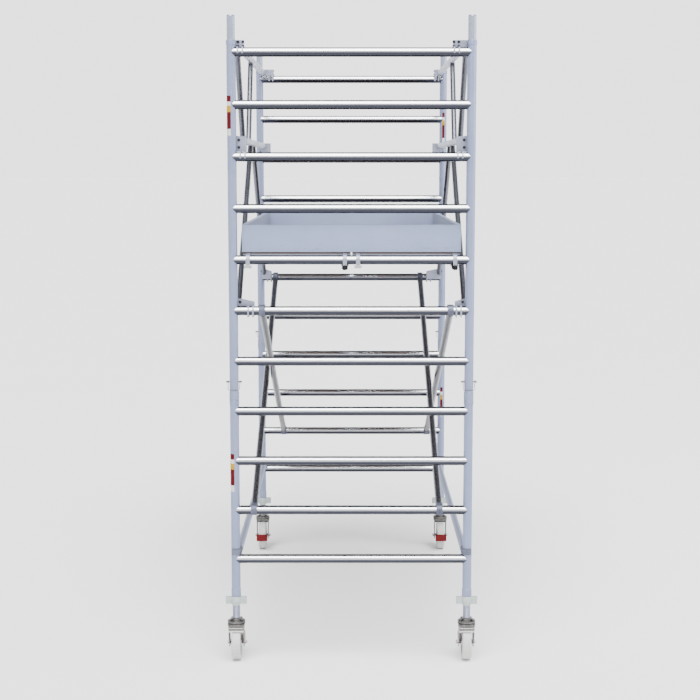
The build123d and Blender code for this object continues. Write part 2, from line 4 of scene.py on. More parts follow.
import bpy
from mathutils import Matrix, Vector


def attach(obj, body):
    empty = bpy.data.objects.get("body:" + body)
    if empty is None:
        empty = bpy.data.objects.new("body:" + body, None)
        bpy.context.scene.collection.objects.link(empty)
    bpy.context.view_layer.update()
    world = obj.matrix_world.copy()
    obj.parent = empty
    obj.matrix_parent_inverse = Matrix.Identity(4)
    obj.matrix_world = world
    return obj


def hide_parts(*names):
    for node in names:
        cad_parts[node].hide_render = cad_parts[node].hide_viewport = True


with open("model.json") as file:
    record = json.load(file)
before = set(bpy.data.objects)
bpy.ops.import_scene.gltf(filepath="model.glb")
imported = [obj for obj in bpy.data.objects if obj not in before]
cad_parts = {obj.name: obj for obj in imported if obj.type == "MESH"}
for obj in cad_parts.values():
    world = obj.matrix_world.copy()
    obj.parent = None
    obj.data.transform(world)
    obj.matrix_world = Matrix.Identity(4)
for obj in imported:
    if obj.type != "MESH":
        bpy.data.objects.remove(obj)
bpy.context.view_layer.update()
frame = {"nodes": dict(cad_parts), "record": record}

# Places that the frame gives: the four corners, the rungs and the deck
ENDS = {"front": -1, "back": 1}
SIDES = {"left": -1, "right": 1}
CORNERS = [(f"{end}_{side}", SIDES[side], ENDS[end]) for end in ENDS for side in SIDES]
UPRIGHT_X = 0.65
FRAME_Y = 1.25
FIRST_RUNG = 0.59
RUNG_PITCH = 0.28
TUBE_R = 0.025
WHEEL_R = 0.1
DECK_Z = FIRST_RUNG + 6 * RUNG_PITCH
DECK_TOP = DECK_Z + 0.0402
TOP_RAIL_Z = FIRST_RUNG + 10 * RUNG_PITCH + 0.045
MID_RAIL_Z = FIRST_RUNG + 8 * RUNG_PITCH + 0.095
RAIL_REACH = 0.0205
FRAME_SEAM = 1.5
SOCKET_FEET = (0.374, 1.494)
SOCKET_R = 0.0268
STICKER_FEET = {"lower": 0.978, "upper": 2.944}
STICKER_FACING = {"front": (-1, 214, 104), "back": (1, 275, 38)}

# The inside of an upright, which the rungs' ends are cut back to
UPRIGHT_BORE_R = 0.0236
RUNG_LENGTH = 1.292
FLUTE_STEP = 12.0
FLUTE_SCALE = 0.992

# Levelling legs
SPINDLE_FOOT = 0.25
SPINDLE_LENGTH = 0.59
SPINDLE_R = 0.021
THREAD_PITCH = 0.006
THREAD_DEPTH = 0.0014
NUT_MIDDLE = 0.3515

# Castors: the wheel trails the leg, and the brake's pedal is placed from the axle
CASTOR_TRAIL = 0.025
CHEEK_X = 0.043
SKIRT_Y = 0.0482
RACE_TOP = 0.2385
RACE_FOOT = 0.2221
BRAKE_PLATE_Y = 0.110
BRAKE_FACE_Y = 0.1142
AXLE_HEAD_X = 0.0515
AXLE_COLLAR_X = 0.0543

# Guardrail brackets and deck hooks
BRACKET_SIDE_X = 0.642
BRACKET_MIDDLE_Y = 1.2055
BRACKET_FACE_Y = 1.221
WIND_LOCK_X = {"left": -0.036, "right": 0.567}
PLAIN_HOOK_X = (-0.567, 0.036)


# ------------------------------------------------------------------ shader maths
class Wire:
    """A shader socket that takes ordinary arithmetic."""

    def __init__(self, finish, socket):
        self.finish = finish
        self.socket = socket

    def sum_with(self, operation, *values):
        return self.finish.node("Math", {"operation": operation}, *values)

    def __add__(self, other):
        return self.sum_with("ADD", self, other)

    def __sub__(self, other):
        return self.sum_with("SUBTRACT", self, other)

    def __rsub__(self, other):
        return self.sum_with("SUBTRACT", other, self)

    def __mul__(self, other):
        return self.sum_with("MULTIPLY", self, other)

    def __mod__(self, other):
        return self.sum_with("FLOORED_MODULO", self, other)

    def __abs__(self):
        return self.sum_with("ABSOLUTE", self)

    def __gt__(self, other):
        return self.sum_with("GREATER_THAN", self, other)

    def __lt__(self, other):
        return self.sum_with("LESS_THAN", self, other)

    __radd__ = __add__
    __rmul__ = __mul__

    def largest(self, other):
        return self.sum_with("MAXIMUM", self, other)

    def smallest(self, other):
        return self.sum_with("MINIMUM", self, other)


class Finish:
    """One material, built node by node round a Principled shader."""

    def __init__(self, name, **constants):
        self.material = bpy.data.materials.new(name)
        self.material.use_nodes = True
        self.tree = self.material.node_tree
        self.shader = self.tree.nodes["Principled BSDF"]
        for key, value in constants.items():
            label = key.replace("_", " ").title().replace("Ior", "IOR")
            self.shader.inputs[label].default_value = value
        self.place = self.node("TexCoord", output="Object")

    def node(self, kind, settings=None, *values, output=0, **sockets):
        made = self.tree.nodes.new("ShaderNode" + kind)
        for key, value in (settings or {}).items():
            if key == "stops":
                ramp = made.color_ramp
                while len(ramp.elements) < len(value):
                    ramp.elements.new(1.0)
                for stop, (position, colour) in zip(ramp.elements, value):
                    stop.position = position
                    stop.color = (*colour, 1.0)
            else:
                setattr(made, key, value)
        for index, value in [*enumerate(values), *sockets.items()]:
            self.feed(made.inputs[index], value)
        return Wire(self, made.outputs[output])

    def feed(self, socket, value):
        if isinstance(value, Wire):
            self.tree.links.new(value.socket, socket)
        elif value is not None:
            socket.default_value = value

    def axes(self, place=None):
        split = self.node("SeparateXYZ", None, place or self.place)
        outputs = split.socket.node.outputs
        return [Wire(self, outputs[index]) for index in range(3)]

    def painted_underside_shade(self):
        """Painted shade mask: 1 on faces that look down and 0 on faces that look up, for darkening
        the downward faces.
        """
        _, _, up = self.axes(self.node("TexCoord", output="Normal"))
        return 1 - self.spread(up, -0.45, 0.4)

    def noise(self, scale, detail=3.0, roughness=0.5, place=None):
        sockets = {"Vector": place or self.place, "Scale": scale}
        sockets |= {"Detail": detail, "Roughness": roughness}
        return self.node("TexNoise", None, output="Fac", **sockets)

    def stretched(self, x, y, z):
        sockets = {"Vector": self.place, "Scale": (x, y, z)}
        return self.node("Mapping", {"vector_type": "POINT"}, **sockets)

    def spread(self, value, low, high, to_low=0.0, to_high=1.0):
        sockets = {"Value": value, "From Min": low, "From Max": high}
        sockets |= {"To Min": to_low, "To Max": to_high}
        return self.node("MapRange", {"clamp": True}, **sockets)

    def blend(self, amount, first, second):
        made = self.tree.nodes.new("ShaderNodeMix")
        made.data_type = "RGBA"
        self.feed(made.inputs["Factor"], amount)
        for index, colour in ((6, first), (7, second)):
            self.feed(made.inputs[index], colour if isinstance(colour, Wire) else (*colour, 1.0))
        return Wire(self, made.outputs[2])

    def paint(self, colour=None, rough=None, metal=None, height=None, bump=0.3, distance=0.001):
        for key, value in (("Base Color", colour), ("Roughness", rough), ("Metallic", metal)):
            self.feed(self.shader.inputs[key], value)
        if height is not None:
            sockets = {"Height": height, "Strength": bump, "Distance": distance}
            self.feed(self.shader.inputs["Normal"], self.node("Bump", None, **sockets))
        return self.material


# ------------------------------------------------------------------ finishes
def drawn_metal(name, light, dark, rough, metal, along, under=0.0, scuff=0.15):
    """Drawn or extruded aluminium: fine die lines along one axis, with a soft oxide mottle."""
    finish = Finish(name)
    lines = finish.noise(1.0, 2.0, 0.6, finish.stretched(*along))
    mottle = finish.noise(7.0, 4.0, 0.6)
    marks = finish.spread(finish.noise(38.0, 5.0, 0.7), 0.62, 0.72)
    tone = finish.spread(lines * 0.5 + mottle * 0.5, 0.32, 0.68)
    colour = finish.blend(tone, dark, light)
    # Painted shade: the downward faces are darkened by the under amount.
    colour = finish.blend(finish.painted_underside_shade() * under, colour, [c * 0.3 for c in dark])
    colour = finish.blend(marks * scuff, colour, [c * 0.72 for c in dark])
    grain = finish.spread(lines, 0.3, 0.7, rough - 0.05, rough + 0.07)
    return finish.paint(colour, grain + marks * 0.1, metal, lines, 0.12, 0.0004)


def upright_metal():
    """Satin extruded tube. Handling has dulled it near the feet and the joints between frames."""
    finish = Finish("upright_satin_aluminium")
    _, _, height = finish.axes()
    lines = finish.noise(1.0, 2.0, 0.6, finish.stretched(900, 900, 6))
    mottle = finish.noise(5.0, 4.0, 0.6)
    marks = finish.spread(finish.noise(46.0, 5.0, 0.75), 0.64, 0.74)
    tone = finish.spread(lines * 0.4 + mottle * 0.6, 0.33, 0.67)
    colour = finish.blend(tone, (0.170, 0.198, 0.305), (0.208, 0.240, 0.365))
    joint = 1 - finish.spread(abs(height - FRAME_SEAM), 0.02, 0.22)
    foot = 1 - finish.spread(height, 0.36, 0.7)
    dull = joint.largest(foot) * finish.spread(mottle, 0.4, 0.6)
    colour = finish.blend(dull * 0.35, colour, (0.16, 0.172, 0.215))
    colour = finish.blend(marks * 0.3, colour, (0.14, 0.146, 0.182))
    rough = finish.spread(lines, 0.3, 0.7, 0.42, 0.52)
    return finish.paint(colour, rough + marks * 0.12, 0.55, lines, 0.1, 0.0004)


def rung_metal():
    """Polished rung with a near-black band painted along its top as a painted reflection, painted
    shade on its lower half, and dulled in patches where boots step on it.
    """
    finish = Finish("rung_polished_aluminium")
    across, _, _ = finish.axes()
    lines = finish.noise(1.0, 2.0, 0.6, finish.stretched(5, 700, 700))
    mottle = finish.noise(9.0, 4.0, 0.6)
    _, _, up = finish.axes(finish.node("TexCoord", output="Normal"))
    # Painted reflection: a near-black band along the top of the rung, standing in for the reflection
    # of the dim band in the sky.
    painted_reflection_band = finish.spread(up, 0.58, 0.74)
    trodden = 1 - finish.spread(abs(across), 0.12, 0.42)
    marks = finish.spread(finish.noise(60.0, 5.0, 0.75), 0.6, 0.72) * (0.35 + trodden * 0.65)
    colour = finish.blend(finish.spread(mottle, 0.35, 0.65), (0.66, 0.67, 0.71), (0.72, 0.73, 0.77))
    # Painted shade: the lower half of the rung, facing down, is darkened towards near black.
    colour = finish.blend(1 - finish.spread(up, -0.14, 0.3), colour, (0.040, 0.042, 0.054))
    colour = finish.blend(marks * 0.06, colour, (0.16, 0.165, 0.19))
    # Painted reflection: the top band is blended to near black.
    colour = finish.blend(painted_reflection_band, colour, (0.010, 0.010, 0.012))
    rough = finish.spread(lines, 0.3, 0.7, 0.13, 0.19)
    return finish.paint(colour, rough + marks * 0.04 + painted_reflection_band * 0.2, 1.0, lines, 0.012, 0.0003)


def cast_metal(name, light, dark, rough=0.5, metal=0.65, grain=0.25):
    """Cast or pressed fitting with a fine sand texture and dirt in its corners."""
    finish = Finish(name)
    sand = finish.noise(420.0, 3.0, 0.6)
    blotch = finish.noise(16.0, 4.0, 0.6)
    colour = finish.blend(finish.spread(blotch, 0.34, 0.66), dark, light)
    grime = finish.spread(finish.noise(70.0, 5.0, 0.75), 0.58, 0.7)
    colour = finish.blend(grime * 0.4, colour, [c * 0.5 for c in dark])
    worn = finish.spread(sand, 0.3, 0.7, rough - 0.06, rough + 0.08)
    return finish.paint(colour, worn, metal, sand, grain, 0.0006)


def zinc_plate(name, light, dark):
    """Zinc plating, with the faint spangle and the streaks of a passivated pressing."""
    finish = Finish(name)
    sockets = {"Vector": finish.place, "Scale": 260.0}
    spangle = finish.node("TexVoronoi", {"feature": "F1"}, output="Color", **sockets)
    shade, _, _ = finish.axes(spangle)
    streak = finish.noise(1.0, 3.0, 0.6, finish.stretched(60, 60, 14))
    colour = finish.blend(finish.spread(shade * 0.4 + streak * 0.6, 0.3, 0.7), dark, light)
    stain = finish.spread(finish.noise(30.0, 5.0, 0.7), 0.6, 0.72)
    colour = finish.blend(stain * 0.3, colour, (0.20, 0.18, 0.15))
    worn = finish.spread(shade, 0.0, 1.0, 0.28, 0.42)
    return finish.paint(colour, worn, 0.9, streak, 0.1, 0.0005)


def moulded_plastic(name, light, dark, rough=0.42, grain=0.15, gloss=0.5):
    """Moulded plastic with a fine spark-eroded grain and slight yellowing."""
    finish = Finish(name, specular_ior_level=gloss)
    grit = finish.noise(700.0, 2.0, 0.5)
    cloud = finish.noise(11.0, 4.0, 0.6)
    colour = finish.blend(finish.spread(cloud, 0.33, 0.67), dark, light)
    scuffs = finish.spread(finish.noise(1.0, 4.0, 0.75, finish.stretched(90, 40, 120)), 0.62, 0.74)
    colour = finish.blend(scuffs * 0.25, colour, [c * 0.6 for c in dark])
    worn = finish.spread(grit, 0.3, 0.7, rough - 0.05, rough + 0.08)
    return finish.paint(colour, worn, 0.0, grit, grain, 0.0003)


def film_print(name, light, dark):
    """Matt vinyl film, slightly faded in patches."""
    finish = Finish(name, specular_ior_level=0.12)
    cloud = finish.noise(30.0, 4.0, 0.6)
    weave = finish.noise(600.0, 2.0, 0.5)
    colour = finish.blend(finish.spread(cloud, 0.33, 0.67), dark, light)
    worn = finish.spread(weave, 0.3, 0.7, 0.55, 0.65)
    return finish.paint(colour, worn, 0.0, weave, 0.05, 0.0002)


def guardrail_metal(light, dark):
    """Pale rails, with the darker drawn tube of the struts and legs between them."""
    finish = Finish("guardrail_drawn_tube")
    _, _, height = finish.axes()
    lines = finish.noise(1.0, 2.0, 0.6, finish.stretched(600, 7, 600))
    on_top_rail = abs(height - TOP_RAIL_Z) < RAIL_REACH
    on_rail = on_top_rail.largest(abs(height - MID_RAIL_Z) < RAIL_REACH)
    tone = finish.spread(finish.noise(7.0, 4.0, 0.6), 0.32, 0.68)
    pale = finish.blend(tone, [c * 0.85 for c in light], light)
    deep = finish.blend(tone, [c * 0.75 for c in dark], dark)
    colour = finish.blend(on_rail, deep, pale)
    rough = finish.spread(lines, 0.3, 0.7, 0.24, 0.34)
    return finish.paint(colour, rough + on_rail * 0.12, 0.9 - on_rail * 0.3, lines, 0.08, 0.0004)


def red_enamel():
    """Red paint on the brake pedals, chipped to bare steel along its worn patches."""
    gloss = {"coat_weight": 0.04, "coat_roughness": 0.3, "specular_ior_level": 0.2}
    finish = Finish("pedal_red_enamel", **gloss)
    cloud = finish.noise(24.0, 4.0, 0.6)
    chips = finish.spread(finish.noise(120.0, 6.0, 0.8), 0.66, 0.7)
    tone = finish.spread(cloud, 0.35, 0.65)
    colour = finish.blend(tone, (0.085, 0.0006, 0.002), (0.12, 0.0010, 0.003))
    colour = finish.blend(chips * 0.8, colour, (0.22, 0.20, 0.19))
    worn = finish.spread(cloud, 0.3, 0.7, 0.45, 0.55)
    return finish.paint(colour, worn, chips * 0.8, 1 - chips, 0.3, 0.0004)


def deck_ply():
    """Film-faced plywood: brown face with a pressed wire grid, and bare veneers on its edges."""
    finish = Finish("deck_phenolic_plywood", specular_ior_level=0.4)
    across, along, height = finish.axes()
    wires_x = abs((across % 0.0042) - 0.0021)
    wires_y = abs((along % 0.0042) - 0.0021)
    grid = 1 - finish.spread(wires_x.smallest(wires_y), 0.0, 0.0008)
    cloud = finish.noise(5.0, 5.0, 0.65)
    tone = finish.spread(cloud, 0.3, 0.7)
    face = finish.blend(tone, (0.055, 0.034, 0.024), (0.105, 0.064, 0.043))
    dust = finish.spread(finish.noise(23.0, 5.0, 0.75), 0.52, 0.72)
    face = finish.blend(dust * 0.45, face, (0.26, 0.23, 0.20))
    ply = ((height - DECK_TOP) % 0.0026) > 0.0013
    grain = finish.noise(1.0, 4.0, 0.6, finish.stretched(8, 8, 900))
    edge = finish.blend(finish.spread(grain, 0.3, 0.7), (0.075, 0.047, 0.032), (0.12, 0.075, 0.050))
    edge = finish.blend(ply * 0.55, edge, (0.045, 0.028, 0.020))
    normal = finish.node("TexCoord", output="Normal")
    _, _, up = finish.axes(normal)
    is_edge = abs(up) < 0.5
    colour = finish.blend(is_edge, face, edge)
    relief = grid * (1 - is_edge)
    worn = finish.spread(cloud, 0.3, 0.7, 0.5, 0.66) + dust * 0.1
    return finish.paint(colour, worn, 0.0, relief, 0.35, 0.0006)


def toe_paint():
    """Flat lavender-grey paint on the toe boards, scuffed by boots low down."""
    finish = Finish("toe_board_grey", specular_ior_level=0.35)
    _, _, height = finish.axes()
    cloud = finish.noise(3.0, 5.0, 0.6)
    tone = finish.spread(cloud, 0.3, 0.7)
    colour = finish.blend(tone, (0.215, 0.258, 0.395), (0.248, 0.295, 0.440))
    low = 1 - finish.spread(height - DECK_TOP, 0.0, 0.1)
    rubs = finish.spread(finish.noise(1.0, 5.0, 0.75, finish.stretched(14, 14, 90)), 0.56, 0.68)
    colour = finish.blend(rubs * (0.1 + low * 0.35), colour, (0.11, 0.12, 0.16))
    return finish.paint(colour, finish.spread(cloud, 0.3, 0.7, 0.5, 0.62), 0.15, rubs, 0.1, 0.0005)


def wheel_nylon():
    """Pale nylon wheel, greyer where it stands on the floor."""
    finish = Finish("wheel_pale_nylon", specular_ior_level=0.5)
    cloud = finish.noise(14.0, 4.0, 0.6)
    grit = finish.noise(480.0, 3.0, 0.6)
    colour = finish.blend(finish.spread(cloud, 0.3, 0.7), (0.37, 0.37, 0.36), (0.45, 0.45, 0.437))
    _, _, height = finish.axes()
    low = 1 - finish.spread(height, 0.0, 0.05)
    dirt = finish.spread(finish.noise(55.0, 5.0, 0.75), 0.48, 0.66) * low
    colour = finish.blend(dirt * 0.5, colour, (0.20, 0.195, 0.185))
    return finish.paint(colour, finish.spread(grit, 0.3, 0.7, 0.36, 0.5), 0.0, grit, 0.2, 0.0003)


UPRIGHT = upright_metal()
RUNG = rung_metal()
SPIGOT = drawn_metal(
    "spigot_turned_aluminium", (0.27, 0.295, 0.37), (0.22, 0.245, 0.31), 0.36, 0.7, (700, 700, 9)
)
# The braces get painted shade on their downward faces (under 0.7).
BRACE = drawn_metal(
    "brace_drawn_tube", (0.17, 0.175, 0.205), (0.115, 0.12, 0.145), 0.26, 0.95, (600, 7, 600), 0.7
)
DECK_RAIL = drawn_metal(
    "deck_mill_extrusion", (0.27, 0.285, 0.345), (0.21, 0.225, 0.285), 0.42, 0.6, (500, 6, 500)
)
SPINDLE = drawn_metal(
    "spindle_rolled_aluminium", (0.25, 0.265, 0.35), (0.20, 0.215, 0.29), 0.4, 0.6, (500, 500, 500)
)
GUARDRAIL = guardrail_metal((0.36, 0.38, 0.46), (0.13, 0.135, 0.16))
DARK_CLAW = cast_metal("brace_claw_cast", (0.115, 0.125, 0.175), (0.055, 0.060, 0.090))
CLAW = cast_metal("claw_cast_aluminium", (0.28, 0.295, 0.37), (0.22, 0.235, 0.305))
BOLT = cast_metal("bolt_dark_steel", (0.030, 0.030, 0.036), (0.018, 0.018, 0.022), 0.4, 0.8, 0.15)
CASTOR = zinc_plate("castor_zinc_plate", (0.17, 0.166, 0.158), (0.070, 0.068, 0.064))
# Painted highlight: pale zinc on the fork's lip, ledge and rivets, for the bright bars along the
# fork's leading side.
LIP_HIGHLIGHT = zinc_plate("castor_lip_painted_highlight", (0.55, 0.55, 0.54), (0.42, 0.42, 0.41))
PIN = zinc_plate("pin_bright_zinc", (0.28, 0.28, 0.28), (0.17, 0.17, 0.17))
DARK_PIN = zinc_plate("lock_pin_dark_zinc", (0.085, 0.085, 0.090), (0.045, 0.045, 0.048))
NUT = moulded_plastic("nut_pale_plastic", (0.34, 0.38, 0.372), (0.29, 0.33, 0.322))
BLACK = moulded_plastic(
    "lock_black_plastic", (0.010, 0.010, 0.012), (0.006, 0.006, 0.008), 0.5, 0.2, 0.08
)
GREY = moulded_plastic("hook_tip_grey_plastic", (0.30, 0.315, 0.315), (0.25, 0.265, 0.265))
PEDAL = red_enamel()
PLY = deck_ply()
TOE = toe_paint()
WHEEL = wheel_nylon()
STICKER_RED = film_print("sticker_red", (0.075, 0.0006, 0.0035), (0.060, 0.0005, 0.0030))
STICKER_YELLOW = film_print("sticker_yellow", (0.36, 0.21, 0.0012), (0.31, 0.18, 0.0010))
STICKER_WHITE = film_print("sticker_white", (0.50, 0.50, 0.49), (0.44, 0.44, 0.43))

SLOT_FINISH = {
    "upright": UPRIGHT,
    "rung": RUNG,
    "spigot": SPIGOT,
    "brace": BRACE,
    "claw": CLAW,
    "spindle": SPINDLE,
    "deck_frame": DECK_RAIL,
    "deck_board": PLY,
    "toe_board": TOE,
    "pin_steel": PIN,
    "castor_steel": CASTOR,
    "nut_plastic": NUT,
    "wheel": WHEEL,
    "pedal": PEDAL,
    "wind_lock": BLACK,
}
NODE_FINISH = {
    "left_guardrail": GUARDRAIL,
    "right_guardrail": GUARDRAIL,
    "side_braces": UPRIGHT,
    "brace_claws": DARK_CLAW,
    "lock_pins": DARK_PIN,
    **{f"lock_wire_{corner}": DARK_PIN for corner, _, _ in CORNERS},
}
for row in frame["record"]["subparts"]:
    part = frame["nodes"][row["node"]]
    part.data.materials.clear()
    part.data.materials.append(NODE_FINISH.get(row["node"]) or SLOT_FINISH[row["material_slot"]])


# ------------------------------------------------------------------ making pieces
def begin(kind, name, **settings):
    """Adds a primitive, applies its place and leaves it as the only selected object."""
    bpy.ops.object.select_all(action="DESELECT")
    getattr(bpy.ops.mesh, f"primitive_{kind}_add")(**settings)
    piece = bpy.context.object
    piece.name = name
    settle(piece)
    return piece


def only(piece):
    bpy.ops.object.select_all(action="DESELECT")
    piece.select_set(True)
    bpy.context.view_layer.objects.active = piece


def settle(piece):
    only(piece)
    bpy.ops.object.transform_apply(location=True, rotation=True, scale=True)


def place(piece, spot=(0, 0, 0), turn=(0, 0, 0), scale=(1, 1, 1)):
    piece.location = spot
    piece.rotation_euler = turn
    piece.scale = scale
    settle(piece)
    return piece


def modify(piece, kind, **settings):
    only(piece)
    modifier = piece.modifiers.new(kind, kind)
    for key, value in settings.items():
        setattr(modifier, key, value)
    bpy.ops.object.modifier_apply(modifier=modifier.name)
    return piece


def pick_faces(piece, wanted):
    """Enters edit mode with the faces that wanted(centre, normal) accepts selected."""
    only(piece)
    for thing in (*piece.data.vertices, *piece.data.edges):
        thing.select = False
    for face in piece.data.polygons:
        face.select = wanted(face.center, face.normal)
    bpy.context.tool_settings.mesh_select_mode = (False, False, True)
    bpy.ops.object.mode_set(mode="EDIT")


def leave_edit():
    bpy.ops.object.mode_set(mode="OBJECT")


def copy_of(piece, name):
    twin = piece.copy()
    twin.data = piece.data.copy()
    twin.name = name
    bpy.context.scene.collection.objects.link(twin)
    return twin


def gather(pieces, name):
    """Joins pieces into one object."""
    bpy.ops.object.select_all(action="DESELECT")
    for piece in pieces:
        piece.select_set(True)
    bpy.context.view_layer.objects.active = pieces[0]
    bpy.ops.object.join()
    joined = bpy.context.object
    joined.name = name
    settle(joined)
    return joined


def spread_copies(pattern, spots, name):
    """Joins one copy of pattern per (place, turn) and removes the pattern."""
    made = []
    for spot, turn in spots:
        made.append(place(copy_of(pattern, name), spot, turn))
    bpy.data.objects.remove(pattern)
    return gather(made, name)


def tidy_normals(piece):
    only(piece)
    bpy.ops.object.mode_set(mode="EDIT")
    bpy.ops.mesh.select_all(action="SELECT")
    bpy.ops.mesh.remove_doubles(threshold=0.00001)
    bpy.ops.mesh.normals_make_consistent(inside=False)
    leave_edit()
    return piece


def dress(piece, material, body, angle=35):
    """Gives a finished piece its material, shading and body."""
    only(piece)
    piece.data.materials.clear()
    piece.data.materials.append(material)
    bpy.ops.object.shade_smooth_by_angle(angle=math.radians(angle))
    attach(piece, body)
    return piece


def hex_bolt(name, across, height):
    """Hexagon head along +Z, chamfered, with a washer under it and a dished top."""
    middle = (0, 0, height / 2 + 0.001)
    head = begin("cylinder", name, vertices=6, radius=across / 2, depth=height, location=middle)
    modify(head, "BEVEL", width=height * 0.12, segments=2, limit_method="ANGLE")
    pick_faces(head, lambda centre, normal: normal.z > 0.9 and centre.z > height * 0.8)
    bpy.ops.mesh.inset(thickness=across * 0.14)
    bpy.ops.transform.translate(value=(0, 0, -height * 0.14))
    leave_edit()
    size = {"vertices": 20, "radius": across * 0.62, "depth": 0.0016}
    washer = begin("cylinder", name, location=(0, 0, 0.0008), **size)
    modify(washer, "BEVEL", width=0.0004, segments=1, limit_method="ANGLE")
    return gather([head, washer], name)


def dome_rivet(name, radius, height):
    """Round rivet head along +Z."""
    rivet = begin("uv_sphere", name, segments=16, ring_count=8, radius=radius)
    only(rivet)
    bpy.ops.object.mode_set(mode="EDIT")
    bpy.ops.mesh.select_all(action="SELECT")
    bpy.ops.mesh.bisect(plane_co=(0, 0, 0), plane_no=(0, 0, 1), clear_inner=True, use_fill=True)
    leave_edit()
    return place(rivet, scale=(1, 1, height / radius))


def rounded_bar(name, size, bevel, spot=(0, 0, 0), turn=(0, 0, 0), steps=3):
    bar = begin("cube", name, size=1)
    place(bar, scale=size)
    modify(bar, "BEVEL", width=bevel, segments=steps, limit_method="ANGLE")
    return place(bar, spot, turn)


# Turns that send a pattern's +Z towards another direction
UP = (0, 0, 0)
TO_LEFT = (0, -math.pi / 2, 0)
TO_RIGHT = (0, math.pi / 2, 0)
TO_FRONT = (math.pi / 2, 0, 0)
TO_BACK = (-math.pi / 2, 0, 0)
TURN_X = {-1: TO_LEFT, 1: TO_RIGHT}
TURN_Y = {-1: TO_FRONT, 1: TO_BACK}


def rung_z(number):
    return FIRST_RUNG + (number - 1) * RUNG_PITCH


# ------------------------------------------------------------------ ribbed rungs
def fluted_rung():
    """Rung with shallow grip flutes along it, and its ends cut to fit round the uprights."""
    size = {"vertices": 120, "radius": TUBE_R, "depth": RUNG_LENGTH, "end_fill_type": "NGON"}
    rung = begin("cylinder", "rung", **size)
    only(rung)
    for vertex in rung.data.vertices:
        turn = math.degrees(math.atan2(vertex.co.y, vertex.co.x)) % FLUTE_STEP
        vertex.select = min(turn, FLUTE_STEP - turn) < 0.5
    for thing in (*rung.data.edges, *rung.data.polygons):
        thing.select = False
    bpy.context.tool_settings.mesh_select_mode = (True, False, False)
    bpy.ops.object.mode_set(mode="EDIT")
    bpy.ops.transform.resize(value=(FLUTE_SCALE, FLUTE_SCALE, 1))
    leave_edit()
    place(rung, turn=(0, math.pi / 2, 0))
    for side in (-1, 1):
        size = {"vertices": 96, "radius": UPRIGHT_BORE_R, "depth": 0.08}
        bore = begin("cylinder", "bore", location=(side * UPRIGHT_X, 0, 0), **size)
        modify(rung, "BOOLEAN", operation="DIFFERENCE", solver="EXACT", object=bore)
        bpy.data.objects.remove(bore)
    return rung


GROUPS = {"lower": range(1, 5), "upper": range(5, 12)}
for end, way in ENDS.items():
    for level, numbers in GROUPS.items():
        pattern = fluted_rung()
        spots = [((0, way * FRAME_Y, rung_z(number)), (0, 0, 0)) for number in numbers]
        rungs = spread_copies(pattern, spots, f"{end}_{level}_fluted_rungs")
        dress(rungs, RUNG, "tower", 30)
        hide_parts(f"{end}_{level}_rungs")


# ------------------------------------------------------------------ levelling legs and castors
def thread_sleeve(name, x, y):
    """Rolled thread: one tooth, repeated up the spindle and closed at both ends."""
    ring = {"vertices": 36, "end_fill_type": "NOTHING"}
    slope = {"depth": THREAD_PITCH * 0.42, **ring}
    flank = begin("cone", name, radius1=SPINDLE_R - THREAD_DEPTH, radius2=SPINDLE_R,
                  location=(0, 0, THREAD_PITCH * 0.21), **slope)
    crest = begin("cylinder", name, radius=SPINDLE_R, depth=THREAD_PITCH * 0.16,
                  location=(0, 0, THREAD_PITCH * 0.5), **ring)
    back = begin("cone", name, radius1=SPINDLE_R, radius2=SPINDLE_R - THREAD_DEPTH,
                 location=(0, 0, THREAD_PITCH * 0.79), **slope)
    tooth = gather([flank, crest, back], name)
    count = int(SPINDLE_LENGTH / THREAD_PITCH)
    modify(tooth, "ARRAY", use_relative_offset=False, use_constant_offset=True,
           constant_offset_displace=(0, 0, THREAD_PITCH), count=count)
    only(tooth)
    bpy.ops.object.mode_set(mode="EDIT")
    bpy.ops.mesh.select_all(action="SELECT")
    bpy.ops.mesh.remove_doubles(threshold=0.0001)
    bpy.ops.mesh.fill_holes(sides=64)
    leave_edit()
    tidy_normals(tooth)
    return place(tooth, (x, y, SPINDLE_FOOT))


def wheel_webs(name, x, y):
    """Six ribs a side between the wheel's hub and its rim."""
    web = rounded_bar("web", (0.012, 0.005, 0.042), 0.0016, (0, 0, 0.051))
    pick_faces(web, lambda centre, normal: normal.z < -0.9)
    bpy.ops.transform.resize(value=(1.35, 1.6, 1))
    leave_edit()
    spots = []
    for face_side in (-1, 1):
        for step in range(6):
            spots.append(((x + face_side * 0.0125, y, WHEEL_R), (math.radians(60 * step), 0, 0)))
    return spread_copies(web, spots, name)


def swivel_fixings(name, x, y):
    """Four nuts on the castor's top plate."""
    nut = hex_bolt("fixing", 0.013, 0.007)
    spots = []
    for step in range(4):
        turn = math.radians(45 + 90 * step)
        spots.append(((x + 0.036 * math.cos(turn), y + 0.036 * math.sin(turn), RACE_TOP), UP))
    return spread_copies(nut, spots, name)


def seal_ring(name, x, y):
    """Black dust seal between the castor's race and its fork."""
    size = {"major_radius": 0.0485, "minor_radius": 0.0022}
    ring = begin("torus", name, major_segments=48, minor_segments=10, **size)
    return place(ring, (x, y, RACE_FOOT), scale=(1, 1, 0.6))


def fork_skirt(name, x, y, inward):
    """Pressed lip and stiffening bar across the fork's leading side, and rivets in its cheeks."""
    skirt_y = y - inward * SKIRT_Y
    lip = rounded_bar("lip", (0.086, 0.003, 0.009), 0.0012, (x, skirt_y, 0.181))
    ledge = rounded_bar("ledge", (0.078, 0.0035, 0.0035), 0.001, (x, skirt_y, 0.199))
    pieces = [lip, ledge]
    for step in (-1, 1):
        for near in (-0.03, 0.03):
            boss = dome_rivet("boss", 0.0052, 0.0026)
            pieces.append(place(boss, (x + step * CHEEK_X, y + inward * near, 0.2), TURN_X[step]))
    return gather(pieces, name)


